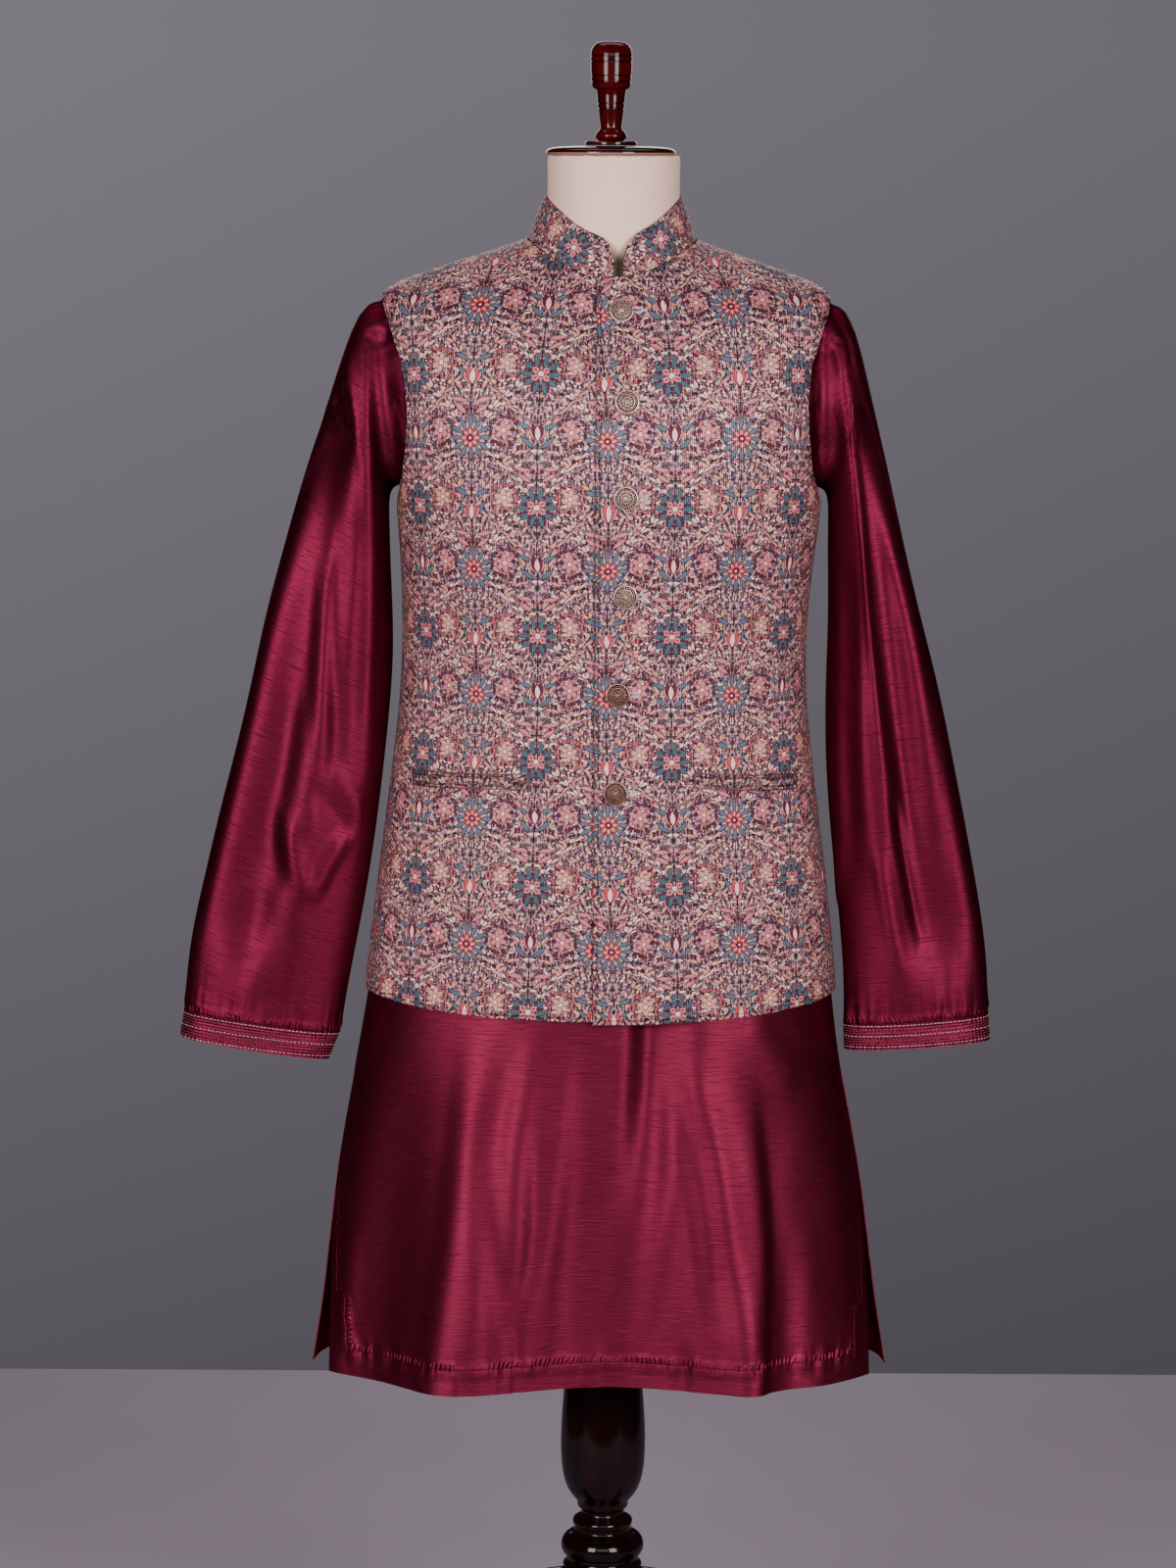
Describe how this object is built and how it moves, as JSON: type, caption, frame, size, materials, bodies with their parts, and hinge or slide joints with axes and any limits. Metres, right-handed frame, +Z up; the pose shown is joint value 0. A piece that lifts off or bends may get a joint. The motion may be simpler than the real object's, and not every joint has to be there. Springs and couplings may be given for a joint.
{
  "type": "waistcoat set on dress form",
  "caption": "Printed band-collar waistcoat over a long-sleeved silk kurta with side slits, hung on a limbless linen dress form on a turned wooden stand with curved legs.",
  "frame": {"origin": "on the floor, under the middle of the set's bounding box", "axes": "+Z up, -Y the front of the clothes, +X the wearer's left"},
  "size_m": [0.729, 0.4462, 1.596],
  "materials": {
    "linen": "plain-weave natural linen, matt",
    "dark_wood": "dark mahogany under gloss varnish",
    "silk": "maroon dupion silk with fine slubs across and a soft sheen",
    "floral_print": "dusty pink ground with a small dense flower print, fine ribs, matt",
    "antique_silver": "oxidised silver with worn bright ridges",
    "antique_copper": "oxidised copper with worn bright ridges"
  },
  "bodies": {
    "root": {"form_torso": "linen", "neck_cap": "dark_wood", "finial": "dark_wood", "column": "dark_wood", "leg_1": "dark_wood", "leg_2": "dark_wood", "leg_3": "dark_wood", "kurta_front": "silk", "kurta_back": "silk", "kurta_sleeve_right": "silk", "kurta_sleeve_left": "silk", "kurta_cuff_right": "silk", "kurta_cuff_left": "silk", "waistcoat_front_right": "floral_print", "waistcoat_front_left": "floral_print", "waistcoat_back": "floral_print", "waistcoat_collar": "floral_print", "waistcoat_welt_right": "floral_print", "waistcoat_welt_left": "floral_print", "waistcoat_button_1": "antique_silver", "waistcoat_button_2": "antique_silver", "waistcoat_button_3": "antique_silver", "waistcoat_button_4": "antique_silver", "waistcoat_button_5": "antique_copper", "waistcoat_button_6": "antique_copper"}
  },
  "joints": []
}
